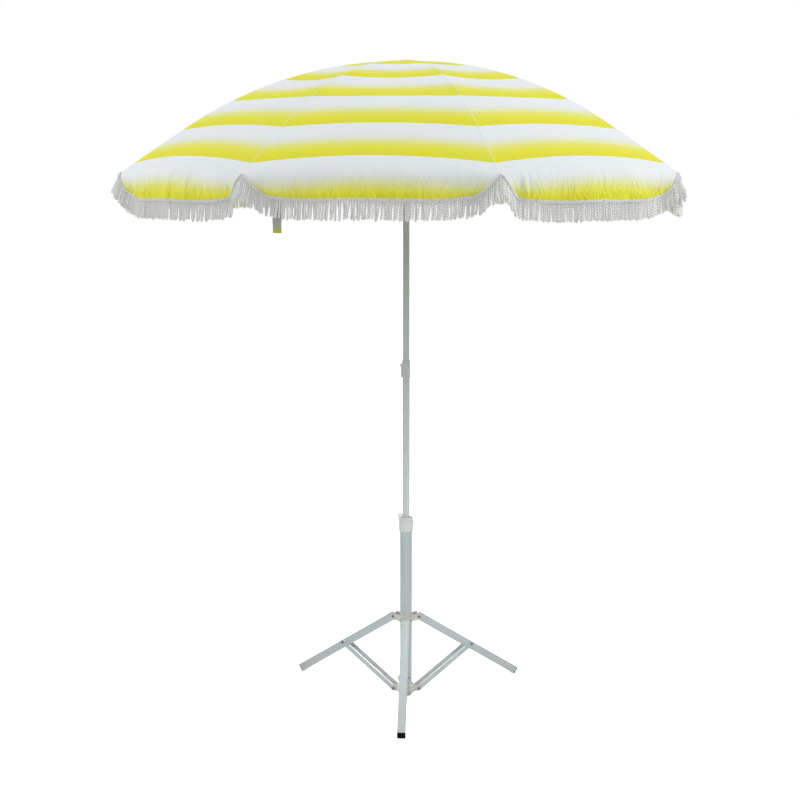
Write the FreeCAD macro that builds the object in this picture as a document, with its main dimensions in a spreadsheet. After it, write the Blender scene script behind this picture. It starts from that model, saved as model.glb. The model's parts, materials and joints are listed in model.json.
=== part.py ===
"""Beach umbrella with a pleated eight-rib canopy, a two-piece pole and a folding tripod.

All sizes are in millimetres. The origin is on the ground under the pole's axis and +Z is up.
The first leg of the tripod points towards -Y.
"""
import FreeCAD, Part
import math
import os
import re

import Sketcher

SIZES = {
    # tripod: foot hub, base tube and the pivots of the legs and struts
    "foot_radius": 27, "foot_height": 30, "foot_floor": 3,
    "tongue_width": 25, "tongue_height": 15, "strut_pin_height": 10,
    "pivot_reach": 39, "hub_pin_height": 251, "mid_pin_reach": 236.5,
    "tube_radius": 19, "tube_wall": 1.2, "tube_top": 556,
    "hub_wall": 2.4, "hub_height": 23, "ear_wall": 3, "ear_beyond_pin": 9, "ear_inner_height": 19,
    "ear_outer_height": 21, "ear_rise": 3,
    # legs: square tubes with an end plug, hung from the hub a little below their centre line
    "leg_side": 25, "leg_wall": 1.2, "leg_behind_pin": 9, "leg_rise": 2.9, "leg_dip_angle": 1.8,
    "leg_notch": 10, "plug_flange": 3, "plug_depth": 16,
    "bar_height": 15, "bar_wall": 2.5, "pin_radius": 2.5, "head_radius": 4.5, "head_height": 2.2,
    # collar that locks the pole in the base tube
    "collar_radius": 23, "collar_bottom": 536, "collar_top": 580, "collar_rim": 2.5,
    "collar_belly": 0.8, "eye_radius": 7, "eye_hole": 3, "eye_wall": 5,
    "eye_lift": 5, "collet_height": 36, "collet_flange": 5, "collet_slit": 2,
    # pole: lower and upper tube, their sleeve and the button that locks them
    "lower_radius": 11, "lower_wall": 0.8, "lower_bottom": 215, "lower_below_button": 6.6,
    "upper_radius": 10, "upper_wall": 1, "upper_below_button": 113.6,
    "sleeve_below_button": 37.6, "sleeve_above_button": 16.4, "sleeve_wall": 1.6,
    "sleeve_ring": 5, "sleeve_groove": 3, "sleeve_step": 0.6, "housing_reach": 15.8,
    "housing_width": 11, "housing_above_button": 4.4, "glide_height": 40, "glide_wall": 3,
    "button_height": 1066.6, "button_radius": 3.5, "button_proud": 4.5, "button_flange": 1.6,
    "spring_wall": 0.6, "spring_width": 6,
    # canopy frame: notched crown and runner, wire rings, ribs and stretchers
    "rib_count": 8, "rib_turn_angle": 17.83, "canopy_top": 1997, "crown_arc": 1213,
    "crown_sweep_angle": 32.6, "rim_arc": 5484, "tip_reach": 870, "cloth_wall": 1,
    "cloth_gap": 0.4, "rib_radius": 2.2, "tip_radius": 4, "crown_radius": 26, "crown_roof": 6,
    "crown_skirt": 10, "ring_reach": 20, "ring_radius": 1.5, "eyelet_radius": 4.2,
    "eyelet_wall": 4, "slot_width": 5,
    "joint_arc": 428, "joint_drop": 7.5, "lug_wall": 3, "fork_wall": 1.4, "fork_radius": 4.2,
    "rivet_radius": 1.5, "cap_radius": 24, "cap_height": 5, "cap_stem": 24,
    "runner_grip": 30, "runner_grip_radius": 14.5, "runner_flange": 18, "runner_flange_height": 5,
    "catch_width": 5, "catch_height": 12, "catch_proud": 3.5, "catch_leaf": 60,
    # canopy cloth: skirt below the rib tips, fringe and closing strap
    "cloth_hole": 14, "panel_gap": 0.3, "panel_belly": 28, "belly_start": 350,
    "hem_drop": 58, "hem_flare": 40, "fringe_drop": 62, "hem_rise_share": 0.22,
    "strap_width": 24, "strap_wall": 1, "strap_length": 120, "strap_below_rim": 28,
    "strap_turn_angle": 5.7,
    # clearances: pivots, telescoping fits, and pieces that only lie side by side
    "pivot_fit": 0.08, "slide_fit": 0.15, "side_gap": 0.3,
}
LEG_COUNT = 3
FIRST_LEG = -90.0
FULL_TURN = 360.0

doc = FreeCAD.newDocument("beach_umbrella")
sheet = doc.addObject("Spreadsheet::Sheet", "Sizes")
for row, (alias, value) in enumerate(SIZES.items(), start=1):
    sheet.set(f"A{row}", alias)
    sheet.set(f"B{row}", str(value))
    sheet.setAlias(f"B{row}", alias)
doc.recompute()
ALIASES = re.compile(r"\b(" + "|".join(SIZES) + r")\b")
finished = []


def size(alias):
    """The number in the sheet's cell of that name."""
    return float(sheet.get(alias))


def number(text):
    """What a plain sum of sizes, such as "tube_radius - 2 * tube_wall", comes to."""
    total = 0.0
    for sign, term in re.findall(r"([+-]?)\s*([\w.]+(?:\s*\*\s*[\w.]+)*)", str(text)):
        product = -1.0 if sign == "-" else 1.0
        for factor in term.split("*"):
            name = factor.strip()
            product *= size(name) if name in SIZES else float(name)
        total += product
    return total


def tied(text):
    """An expression in which each size's name points to its cell."""
    return ALIASES.sub(r"Sizes.\1", str(text))


def bind(obj, **sizes):
    """Tie properties of an object to expressions on the sheet."""
    for name, text in sizes.items():
        obj.setExpression(name, tied(text))
    return obj


def put(obj, x=0, y=0, z=0, turn=None):
    """Place an object at expressions on the sheet, turned by (axis, degrees)."""
    if turn:
        obj.Placement.Rotation = FreeCAD.Rotation(FreeCAD.Vector(*turn[0]), turn[1])
    for way, text in (("x", x), ("y", y), ("z", z)):
        if text != 0:
            obj.setExpression("Placement.Base." + way, tied(text))
    return obj


def box(name, length, width, height, x=0, y=0, z=0, turn=None):
    """A block whose corner stands at x, y, z."""
    obj = bind(doc.addObject("Part::Box", name), Length=length, Width=width, Height=height)
    return put(obj, x, y, z, turn)


def rod(name, radius, height, x=0, y=0, z=0, turn=None):
    """A round bar that starts at x, y, z."""
    obj = bind(doc.addObject("Part::Cylinder", name), Radius=radius, Height=height)
    return put(obj, x, y, z, turn)


def cross_rod(name, radius, half_length, x=0, z=0):
    """A round bar along Y, centred on the XZ plane."""
    return rod(name, radius, f"2 * ({half_length})", x, f"{half_length}", z, ((1, 0, 0), 90))


def pipe(name, outer, inner, low, high):
    """A round tube about the Z axis, from low to high."""
    body = rod(name + "_outside", outer, f"({high}) - ({low})", z=low)
    bore = rod(name + "_bore", inner, f"({high}) - ({low}) + 2", z=f"({low}) - 1")
    return cut(name, body, [bore])


def fuse(name, pieces):
    """Join pieces into one solid."""
    obj = doc.addObject("Part::MultiFuse", name)
    obj.Shapes = pieces
    obj.Refine = True
    return obj


def cut(name, base, tools):
    """Take tools away from a base."""
    tool = tools[0] if len(tools) == 1 else fuse(name + "_tools", tools)
    obj = doc.addObject("Part::Cut", name)
    obj.Base = base
    obj.Tool = tool
    return obj


def turned(name, outline):
    """A piece turned on the Z axis from an outline of (radius, height) expressions."""
    body = doc.addObject("PartDesign::Body", name)
    sketch = body.newObject("Sketcher::SketchObject", name + "_outline")
    front = next(o for o in body.Origin.OriginFeatures if o.Role == "XZ_Plane")
    sketch.AttachmentSupport = [(front, "")]
    sketch.MapMode = "FlatFace"
    points = [FreeCAD.Vector(number(r), number(z), 0) for r, z in outline]
    for line, point in enumerate(points):
        after = points[(line + 1) % len(points)]
        sketch.addGeometry(Part.LineSegment(point, after))
    for line, (radius, height) in enumerate(outline):
        after = (line + 1) % len(points)
        sketch.addConstraint(Sketcher.Constraint("Coincident", line, 2, after, 1))
        for kind, text, axis in (("DistanceX", radius, -2), ("DistanceY", height, -1)):
            if text == "0":
                sketch.addConstraint(Sketcher.Constraint("PointOnObject", line, 1, axis))
                continue
            value = number(text)
            row = sketch.addConstraint(Sketcher.Constraint(kind, -1, 1, line, 1, value))
            sketch.setExpression(f"Constraints[{row}]", tied(text))
    turn = body.newObject("PartDesign::Revolution", name + "_turn")
    turn.Profile = sketch
    turn.ReferenceAxis = (sketch, ["V_Axis"])
    turn.Angle = FULL_TURN
    return body


def around(obj, angle, x=0, y=0, z=0, tilt=0.0):
    """Place a finished piece: tilt it down about Y, then turn it about Z."""
    turn = FreeCAD.Rotation(FreeCAD.Vector(0, 0, 1), angle)
    dip = FreeCAD.Rotation(FreeCAD.Vector(0, 1, 0), tilt)
    obj.Placement = FreeCAD.Placement(turn.multVec(FreeCAD.Vector(x, y, z)), turn.multiply(dip))
    return obj


def finish(obj, label):
    """Name a sub-part, and keep it for the file that bears its name."""
    obj.Label = label
    finished.append(obj)
    return obj


def formed(label, shape, angle=0.0):
    """A free-form sub-part from Part's own functions, turned to its place about Z."""
    obj = doc.addObject("Part::Feature", label)
    obj.Shape = shape
    turn = FreeCAD.Rotation(FreeCAD.Vector(0, 0, 1), angle)
    obj.Placement = FreeCAD.Placement(FreeCAD.Vector(0, 0, 0), turn).multiply(shape.Placement)
    return finish(obj, label)


def ringed(name, reach, radius, height):
    """A closed wire ring about the Z axis."""
    ring = bind(doc.addObject("Part::Torus", name), Radius1=reach, Radius2=radius)
    return put(ring, z=height)


# ---------------------------------------------------------------- root: foot hub and base tube
MID_PIN_HEIGHT = "(hub_pin_height + strut_pin_height) / 2"
leg_angles = [FIRST_LEG + FULL_TURN / LEG_COUNT * n for n in range(LEG_COUNT)]
mid_pin_height = (size("hub_pin_height") + size("strut_pin_height")) / 2
pivot_span = size("mid_pin_reach") - size("pivot_reach")
pivot_drop = size("hub_pin_height") - mid_pin_height
leg_tilt = math.degrees(math.atan2(pivot_drop, pivot_span)) + size("leg_dip_angle")
strut_tilt = -math.degrees(math.atan2(pivot_drop, pivot_span))


def tongue(angle):
    """One cream plastic tongue of the foot hub, on which a pair of strut bars turns."""
    name = f"tongue_{int(angle)}"
    reach = "pivot_reach - foot_radius + foot_height / 4"
    bar = box(name + "_bar", reach, "tongue_width", "tongue_height",
              "foot_radius - foot_height / 4", "-tongue_width / 2",
              "strut_pin_height - tongue_height / 2")
    nose = cross_rod(name + "_nose", "tongue_height / 2", "tongue_width / 2",
                     "pivot_reach", "strut_pin_height")
    hole = cross_rod(name + "_hole", "pin_radius + pivot_fit", "tongue_width",
                     "pivot_reach", "strut_pin_height")
    return around(cut(name, fuse(name + "_solid", [bar, nose]), [hole]), angle)


def foot_hub():
    """The cup that the base tube stands in, with three tongues for the struts."""
    cup = turned("foot_cup", [
        ("0", "0"), ("foot_radius - foot_floor", "0"), ("foot_radius", "foot_floor"),
        ("foot_radius", "foot_height - foot_floor"),
        ("foot_radius - foot_floor", "foot_height"),
        ("tube_radius + pivot_fit", "foot_height"), ("tube_radius + pivot_fit", "foot_floor"),
        ("0", "foot_floor"),
    ])
    tongues = [tongue(angle) for angle in leg_angles]
    room = rod("foot_room", "tube_radius + pivot_fit", "foot_height", z="foot_floor")
    whole = fuse("foot_solid", [cup] + tongues)
    return finish(cut("foot_bored", whole, [room]), "foot_hub")


def pins(name, reach, height, outer):
    """The three round pins of one set of pivots, each with a low head at either end."""
    made = []
    for angle in leg_angles:
        part = f"{name}_{int(angle)}"
        shank = cross_rod(part + "_shank", "pin_radius", f"{outer} + pivot_fit", reach, height)
        heads = [
            rod(part + f"_head_{end}", "head_radius", "head_height", reach,
                f"{side} * ({outer} + pivot_fit)", height, ((1, 0, 0), -90 * side))
            for end, side in (("a", 1), ("b", -1))
        ]
        made.append(around(fuse(part, [shank] + heads), angle))
    group = doc.addObject("Part::Compound", name)
    group.Links = made
    return finish(group, name)


def pin_outer(wall):
    """Half the length of a pin that holds walls of this thickness outside a leg or tongue."""
    return f"(leg_side / 2 + side_gap + {wall})"


foot_hub()
finish(pipe("tube_pipe", "tube_radius", "tube_radius - tube_wall", "foot_floor", "tube_top"),
       "base_tube")
pins("strut_pins", "pivot_reach", "strut_pin_height", pin_outer("bar_wall"))


# ---------------------------------------------------------------- sliding leg hub
def ear(name, side):
    """One flat ear of the hub: it widens and rises a little towards its outer end."""
    wedge = doc.addObject("Part::Wedge", name)
    bind(wedge, Xmin="0", Xmax="ear_wall", X2min="0", X2max="ear_wall",
         Ymin="0", Ymax="pivot_reach + ear_beyond_pin - tube_radius / 2 - hub_wall",
         Zmin="-ear_inner_height / 2 - ear_rise", Zmax="ear_inner_height / 2 - ear_rise",
         Z2min="-ear_outer_height / 2", Z2max="ear_outer_height / 2")
    across = f"{side} * (leg_side / 2 + side_gap + ear_wall / 2) + ear_wall / 2"
    return put(wedge, "tube_radius / 2 + hub_wall", across, "hub_pin_height",
               ((0, 0, 1), -90))


def leg_hub():
    """The collar that slides on the base tube, with a pair of ears for each leg."""
    low = "hub_pin_height - hub_height / 2 - ear_rise"
    ring = pipe("hub_ring", "tube_radius + slide_fit + hub_wall", "tube_radius + slide_fit",
                low, low + " + hub_height")
    pieces = [ring]
    for angle in leg_angles:
        part = f"ears_{int(angle)}"
        hole = cross_rod(part + "_hole", "pin_radius + pivot_fit", "leg_side",
                         "pivot_reach", "hub_pin_height")
        pair = fuse(part + "_pair", [ear(part + "_a", 1), ear(part + "_b", -1)])
        pieces.append(around(cut(part, pair, [hole]), angle))
    bore = rod("hub_bore", "tube_radius + slide_fit", "hub_height * 2",
               z="hub_pin_height - hub_height")
    return finish(cut("hub_bored", fuse("hub_solid", pieces), [bore]), "leg_hub")


leg_hub()
pins("leg_pins", "pivot_reach", "hub_pin_height", pin_outer("ear_wall"))


# ---------------------------------------------------------------- legs, plugs, pins and struts
# a leg lies along X from its hub pin; the tube's centre line runs leg_rise above the pin
leg_cosine = math.cos(math.radians(leg_tilt))
leg_sine = math.sin(math.radians(leg_tilt))
half_side_below = size("leg_side") / 2 - size("leg_rise")
leg_reach = (size("hub_pin_height") - half_side_below * leg_cosine) / leg_sine
mid_pin_along = math.hypot(pivot_span, pivot_drop) * math.cos(math.radians(size("leg_dip_angle")))
mid_pin_above = math.hypot(pivot_span, pivot_drop) * math.sin(math.radians(size("leg_dip_angle")))


def on_leg(obj, angle):
    """Carry a piece drawn along a leg to that leg's place."""
    return around(obj, angle, x=size("pivot_reach"), z=size("hub_pin_height"), tilt=leg_tilt)


def leg(which, angle):
    """A square tube, open at the hub, with its top cut back so that it clears the ears."""
    name = f"leg_{which}"
    length = f"{leg_reach} + leg_behind_pin - plug_flange"
    low = "leg_rise - leg_side / 2"
    outside = box(name + "_outside", length, "leg_side", "leg_side",
                  "-leg_behind_pin", "-leg_side / 2", low)
    inside = box(name + "_inside", length + " + 2", "leg_side - 2 * leg_wall",
                 "leg_side - 2 * leg_wall", "-leg_behind_pin - 1",
                 "leg_wall - leg_side / 2", low + " + leg_wall")
    notch = box(name + "_notch", "leg_behind_pin + leg_notch", "2 * leg_side", "leg_side / 4",
                "-leg_behind_pin", "-leg_side", low + " + leg_side * 3 / 4")
    hub_hole = cross_rod(name + "_hub_hole", "pin_radius + pivot_fit", "leg_side")
    mid_hole = cross_rod(name + "_mid_hole", "pin_radius + pivot_fit", "leg_side",
                         mid_pin_along, mid_pin_above)
    shape = cut(name + "_tube", outside, [inside, notch, hub_hole, mid_hole])
    return finish(on_leg(shape, angle), name)


def leg_foot(which, angle):
    """The black plug in a leg's lower end: a square flange and the block inside the tube."""
    name = f"leg_foot_{which}"
    flange = box(name + "_flange", "plug_flange", "leg_side", "leg_side",
                 f"{leg_reach} - plug_flange", "-leg_side / 2", "leg_rise - leg_side / 2")
    side = "(leg_side - 2 * leg_wall - 2 * pivot_fit)"
    block = box(name + "_block", "plug_depth", side, side,
                f"{leg_reach} - plug_flange - plug_depth", f"-{side} / 2",
                f"leg_rise - {side} / 2")
    return finish(on_leg(fuse(name + "_solid", [flange, block]), angle), name)


def mid_pin(which, angle):
    """The rivet that joins a leg to its two strut bars."""
    name = f"mid_pin_{which}"
    half = pin_outer("bar_wall") + " + pivot_fit"
    shank = cross_rod(name + "_shank", "pin_radius", half, mid_pin_along, mid_pin_above)
    heads = [
        rod(f"{name}_head_{end}", "head_radius", "head_height", mid_pin_along,
            f"{side} * ({half})", mid_pin_above, ((1, 0, 0), -90 * side))
        for end, side in (("a", 1), ("b", -1))
    ]
    return finish(on_leg(fuse(name + "_solid", [shank] + heads), angle), name)


def strut(which, angle):
    """A pair of flat bars with round ends, one on each side of the leg and the tongue."""
    name = f"strut_{which}"
    length = f"{math.hypot(pivot_span, pivot_drop)}"
    bars = []
    for end, side in (("a", 1), ("b", -1)):
        part = f"{name}_{end}"
        near = f"{side} * (leg_side / 2 + side_gap + bar_wall / 2) - bar_wall / 2"
        flat = box(part + "_flat", length, "bar_wall", "bar_height", 0, near, "-bar_height / 2")
        far = f"{near} + bar_wall"
        rounds = [rod(part + f"_round_{n}", "bar_height / 2", "bar_wall", x, far, 0,
                      ((1, 0, 0), 90)) for n, x in enumerate((0, length))]
        holes = [rod(part + f"_hole_{n}", "pin_radius + pivot_fit", "bar_wall * 3", x,
                     far + " + bar_wall", 0, ((1, 0, 0), 90)) for n, x in enumerate((0, length))]
        bars.append(cut(part, fuse(part + "_solid", [flat] + rounds), holes))
    pair = doc.addObject("Part::Compound", name + "_pair")
    pair.Links = bars
    around(pair, angle, x=size("pivot_reach"), z=size("strut_pin_height"), tilt=strut_tilt)
    return finish(pair, name)


for which, angle in enumerate(leg_angles, start=1):
    leg(which, angle)
    leg_foot(which, angle)
    mid_pin(which, angle)
    strut(which, angle)


# ---------------------------------------------------------------- collar and collet
def base_collar():
    """The turning collar that closes the collet, with a small eye on its top rim."""
    ceiling = "tube_top + collet_flange + 2 * side_gap"
    shell = turned("collar_shell", [
        ("tube_radius + slide_fit", "collar_bottom"),
        ("collar_radius - collar_belly", "collar_bottom"),
        ("collar_radius", "collar_bottom + collar_rim"),
        ("collar_radius - collar_belly", "collar_bottom + 2 * collar_rim"),
        ("collar_radius - collar_belly", "collar_top - 3 * collar_rim"),
        ("collar_radius", "collar_top - 2 * collar_rim"),
        ("collar_radius", "collar_top - collar_rim"),
        ("collar_radius - collar_rim", "collar_top"),
        ("lower_radius + side_gap", "collar_top"),
        ("lower_radius + side_gap", ceiling),
        ("tube_radius + slide_fit", ceiling),
    ])
    across = "-lower_radius - 2 * side_gap - eye_radius"
    eye = cross_rod("collar_eye", "eye_radius", "eye_wall / 2", across, "collar_top + eye_lift")
    hole = cross_rod("collar_eye_hole", "eye_hole", "eye_wall", across, "collar_top + eye_lift")
    bore = rod("collar_bore", "lower_radius + side_gap", "collar_top", z="collar_bottom")
    return finish(cut("collar_bored", fuse("collar_solid", [shell, eye]), [hole, bore]),
                  "base_collar")


def collet():
    """The split plastic ring in the mouth of the base tube, which grips the pole."""
    floor = "tube_top + collet_flange - collet_height"
    ring = turned("collet_ring", [
        ("lower_radius + pivot_fit", floor), ("tube_radius - tube_wall - slide_fit", floor),
        ("tube_radius - tube_wall - slide_fit", "tube_top + pivot_fit"),
        ("tube_radius", "tube_top + pivot_fit"), ("tube_radius", "tube_top + collet_flange"),
        ("lower_radius + pivot_fit", "tube_top + collet_flange"),
    ])
    slit = box("collet_gap", "collet_slit", "2 * tube_radius", "2 * collet_height",
               "-collet_slit / 2", "0", floor + " - 1")
    return finish(cut("collet_split", ring, [slit]), "collet")


base_collar()
collet()


# ---------------------------------------------------------------- lower pole
def pole_glide():
    """The cup on the pole's foot, which keeps it in the middle of the base tube."""
    outer = "tube_radius - tube_wall - slide_fit"
    inner = "lower_radius + pivot_fit"
    cup = turned("glide_cup", [
        ("glide_wall", "lower_bottom - glide_wall"), (outer, "lower_bottom - glide_wall"),
        (outer, "lower_bottom + glide_height"), (inner, "lower_bottom + glide_height"),
        (inner, "lower_bottom"), ("glide_wall", "lower_bottom"),
    ])
    return finish(cup, "pole_glide")


lower_top = "button_height - lower_below_button"
sleeve_bottom = "button_height - sleeve_below_button"
sleeve_top = "button_height + sleeve_above_button"


def pole_sleeve():
    """The plastic socket on top of the lower pole, with a housing for the snap button."""
    outer = "lower_radius + sleeve_wall"
    shoulder = "button_height + housing_above_button - sleeve_ring"
    shell = turned("sleeve_shell", [
        ("lower_radius + pivot_fit", sleeve_bottom),
        (outer + " + sleeve_step", sleeve_bottom),
        (outer + " + sleeve_step", sleeve_bottom + " + sleeve_ring"),
        (outer, sleeve_bottom + " + sleeve_ring"),
        (outer, sleeve_top + " - sleeve_ring - sleeve_groove"),
        (outer + " - 2 * sleeve_step", sleeve_top + " - sleeve_ring - sleeve_groove"),
        (outer + " - 2 * sleeve_step", sleeve_top + " - sleeve_ring"),
        (outer + " - sleeve_step", sleeve_top + " - sleeve_ring"),
        (outer + " - sleeve_step", sleeve_top),
        ("upper_radius + slide_fit", sleeve_top),
        ("upper_radius + slide_fit", lower_top + " + pivot_fit"),
        ("lower_radius + pivot_fit", lower_top + " + pivot_fit"),
    ])
    straight = "housing_above_button - sleeve_ring + sleeve_below_button"
    block = box("housing_block", "housing_reach - lower_radius", "housing_width", straight,
                "-housing_reach", "-housing_width / 2", sleeve_bottom)
    slope = doc.addObject("Part::Wedge", "housing_slope")
    bind(slope, Xmin="0", Xmax="housing_width", X2min="0", X2max="housing_width",
         Ymin="0", Ymax="2 * sleeve_ring", Zmin="0", Zmax="housing_reach - lower_radius",
         Z2min="0", Z2max="sleeve_wall")
    slope.Placement.Rotation = FreeCAD.Rotation(
        FreeCAD.Vector(0, -1, 0), FreeCAD.Vector(0, 0, 1), FreeCAD.Vector(-1, 0, 0), "XYZ")
    put(slope, "-lower_radius", "housing_width / 2", shoulder)
    socket = rod("sleeve_socket", "lower_radius + pivot_fit", lower_top + " + pivot_fit")
    bore = rod("sleeve_bore", "upper_radius + slide_fit", sleeve_top + " + side_gap")
    hole = rod("sleeve_button_hole", "button_radius + slide_fit", "2 * housing_reach", 0, 0,
               "button_height", ((0, 1, 0), -90))
    solid = fuse("sleeve_solid", [shell, block, slope])
    return finish(cut("sleeve_bored", solid, [socket, bore, hole]), "pole_sleeve")


finish(pipe("lower_pipe", "lower_radius", "lower_radius - lower_wall",
            "lower_bottom + pivot_fit", lower_top), "lower_pole")
pole_glide()
pole_sleeve()


# ---------------------------------------------------------------- canopy geometry
# in the plane of a rib the seam of the cloth is two tangent arcs; radius first, height second
crown_sweep = math.radians(size("crown_sweep_angle"))
bend_reach = size("crown_arc") * math.sin(crown_sweep)
bend_height = size("canopy_top") - size("crown_arc") * (1 - math.cos(crown_sweep))
tip_slope = math.asin(math.sin(crown_sweep) + (size("tip_reach") - bend_reach) / size("rim_arc"))


def seam(slope, inside=0.0):
    """The point of the rib seam, or of a line inside it, where it slopes this much."""
    if slope <= crown_sweep:
        radius = size("crown_arc") - inside
        return (radius * math.sin(slope),
                size("canopy_top") - size("crown_arc") + radius * math.cos(slope))
    radius = size("rim_arc") - inside
    across = bend_reach - size("rim_arc") * math.sin(crown_sweep)
    up = bend_height - size("rim_arc") * math.cos(crown_sweep)
    return across + radius * math.sin(slope), up + radius * math.cos(slope)


crown_top = size("canopy_top") - size("cloth_wall") - 2 * size("side_gap")
crown_pin = (size("ring_reach"), crown_top - size("crown_roof"))
rib_inside = size("cloth_wall") + size("cloth_gap") + size("rib_radius")
rib_bend = seam(crown_sweep, rib_inside)
end_slope = tip_slope - (size("tip_radius") + size("cloth_wall")) / size("rim_arc")
rib_tip = seam(end_slope, rib_inside)
chord = math.dist(crown_pin, rib_bend)
chord_slope = math.atan2(crown_pin[1] - rib_bend[1], rib_bend[0] - crown_pin[0])
root_slope = 2 * chord_slope - crown_sweep
rib_arc = chord / (2 * math.sin(crown_sweep - chord_slope))


def rib_point(along):
    """The rib's centre point and slope at a length along its inner arc from the crown pin."""
    slope = root_slope + along / rib_arc
    across = crown_pin[0] + rib_arc * (math.sin(slope) - math.sin(root_slope))
    up = crown_pin[1] - rib_arc * (math.cos(root_slope) - math.cos(slope))
    return across, up, slope


joint_across, joint_up, joint_slope = rib_point(size("joint_arc"))
joint_pin = (joint_across - size("joint_drop") * math.sin(joint_slope),
             joint_up - size("joint_drop") * math.cos(joint_slope))
stretcher_length = math.dist(crown_pin, joint_pin)
stretcher_rise = math.degrees(math.asin((crown_pin[1] - joint_pin[1]) / stretcher_length))
runner_height = 2 * joint_pin[1] - crown_pin[1]
runner_bottom = runner_height - size("crown_roof") - size("runner_grip")
rib_angles = [FIRST_LEG + size("rib_turn_angle") + FULL_TURN / size("rib_count") * n
              for n in range(int(size("rib_count")))]
half_panel = math.radians(FULL_TURN / size("rib_count") / 2)


# ---------------------------------------------------------------- upper pole and its fittings
def upper_pole():
    """The upper tube, with a hole for the snap button and a slot for the runner catch."""
    tube = pipe("upper_pipe", "upper_radius", "upper_radius - upper_wall",
                "button_height - upper_below_button", crown_top)
    button = rod("upper_button_hole", "button_radius + slide_fit", "2 * upper_radius", 0, 0,
                 "button_height", ((0, 1, 0), -90))
    slot = box("upper_catch_slot", "2 * upper_radius", "catch_width + 2 * side_gap",
               "catch_height + 2 * side_gap", 0, "-catch_width / 2 - side_gap",
               f"{runner_bottom} - 2 * side_gap - catch_height")
    return finish(cut("upper_pierced", tube, [button, slot]), "upper_pole")


def snap_button():
    """The round button that holds the two poles together, with its inner flange."""
    seat = "(upper_radius / 2 + button_flange / 2)"
    stem = rod("button_stem", "button_radius",
               f"housing_reach + button_proud - {seat} + button_flange / 2",
               f"-{seat} + button_flange / 2", 0, "button_height", ((0, 1, 0), -90))
    flange = rod("button_collar", "button_radius + 1", "button_flange",
                 f"-{seat}", 0, "button_height", ((0, 1, 0), -90))
    return finish(fuse("button_solid", [stem, flange]), "snap_button")


def button_spring():
    """The band spring inside the pole that pushes the button out."""
    bore = "(upper_radius - upper_wall)"
    radius = f"({bore} + upper_radius / 2) / 2 - pivot_fit"
    middle = f"({bore} - upper_radius / 2) / 2"
    band = rod("spring_band", radius, "spring_width", middle, 0,
               "button_height - spring_width / 2")
    hollow = rod("spring_hollow", f"{radius} - spring_wall", "2 * spring_width", middle, 0,
                 "button_height - spring_width")
    return finish(cut("spring_hoop", band, [hollow]), "button_spring")


def runner_catch():
    """The leaf inside the pole whose sloped nose holds the runner up."""
    bore = "(upper_radius - upper_wall)"
    leaf = box("catch_leaf_bar", "spring_wall", "catch_width", "catch_leaf",
               f"{bore} - upper_wall - spring_wall", "-catch_width / 2",
               f"{runner_bottom} - side_gap - catch_leaf")
    nose = doc.addObject("Part::Wedge", "catch_nose")
    bind(nose, Xmin="0", Xmax="catch_width", X2min="0", X2max="catch_width",
         Ymin="0", Ymax="catch_height", Zmin="0", Zmax="upper_wall * 2",
         Z2min="0", Z2max="upper_wall * 2 + catch_proud")
    nose.Placement.Rotation = FreeCAD.Rotation(
        FreeCAD.Vector(0, 1, 0), FreeCAD.Vector(0, 0, 1), FreeCAD.Vector(1, 0, 0), "XYZ")
    put(nose, f"{bore} - upper_wall", "-catch_width / 2",
        f"{runner_bottom} - side_gap - catch_height")
    return finish(fuse("catch_solid", [leaf, nose]), "runner_catch")


def notches(name, low, high):
    """Room for the eyelets: one radial slot for each rib, and the groove for the wire ring."""
    tools = []
    for place, angle in enumerate(rib_angles):
        slot = box(f"{name}_{place}", "crown_radius", "slot_width", f"{high - low}",
                   "ring_reach - eyelet_radius - side_gap", "-slot_width / 2", low)
        holder = doc.addObject("Part::Compound", f"{name}_{place}_turned")
        holder.Links = [slot]
        tools.append(around(holder, angle))
    tools.append(pipe(name + "_groove", "2 * crown_radius",
                      "ring_reach - ring_radius - side_gap",
                      "-ring_radius - side_gap", "ring_radius + side_gap"))
    return tools


def crown():
    """The notched plastic disc on top of the pole that carries the ribs."""
    disc = turned("crown_disc", [
        ("upper_radius + pivot_fit", "-crown_skirt"), ("crown_radius - 2", "-crown_skirt"),
        ("crown_radius", "2 - crown_skirt"), ("crown_radius", "crown_roof"),
        ("upper_radius + pivot_fit", "crown_roof"),
    ])
    deep = -size("crown_skirt") - 1
    roof = size("eyelet_radius") + size("side_gap")
    notched = cut("crown_notched", disc, notches("crown_slot", deep, roof))
    return finish(around(notched, 0, z=crown_pin[1]), "crown")


def runner():
    """The sliding disc and grip that the stretchers hang on."""
    foot = "-crown_roof - runner_grip"
    disc = turned("runner_disc", [
        ("upper_radius + side_gap", foot), ("runner_flange", foot),
        ("runner_flange", foot + " + runner_flange_height"),
        ("runner_grip_radius", foot + " + runner_flange_height"),
        ("runner_grip_radius", "-crown_roof"), ("crown_radius", "-crown_roof"),
        ("crown_radius", "crown_skirt - 2"), ("crown_radius - 2", "crown_skirt"),
        ("upper_radius + side_gap", "crown_skirt"),
    ])
    floor = -size("eyelet_radius") - size("side_gap")
    notched = cut("runner_notched", disc, notches("runner_slot", floor, size("crown_skirt") + 1))
    return finish(around(notched, 0, z=runner_height), "runner")


def top_cap():
    """The low plastic cap that clamps the cloth to the crown and plugs the pole."""
    stem = "upper_radius - upper_wall - slide_fit"
    cap = turned("cap_dome", [
        ("0", "canopy_top - cap_stem"), (stem, "canopy_top - cap_stem"),
        (stem, "canopy_top + slide_fit"), ("cap_radius", "canopy_top + slide_fit"),
        ("cap_radius - cap_height / 4", "canopy_top + cap_height / 2"),
        ("cap_radius - cap_height", "canopy_top + cap_height * 0.8"),
        ("0", "canopy_top + cap_height"),
    ])
    return finish(cap, "top_cap")


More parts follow.
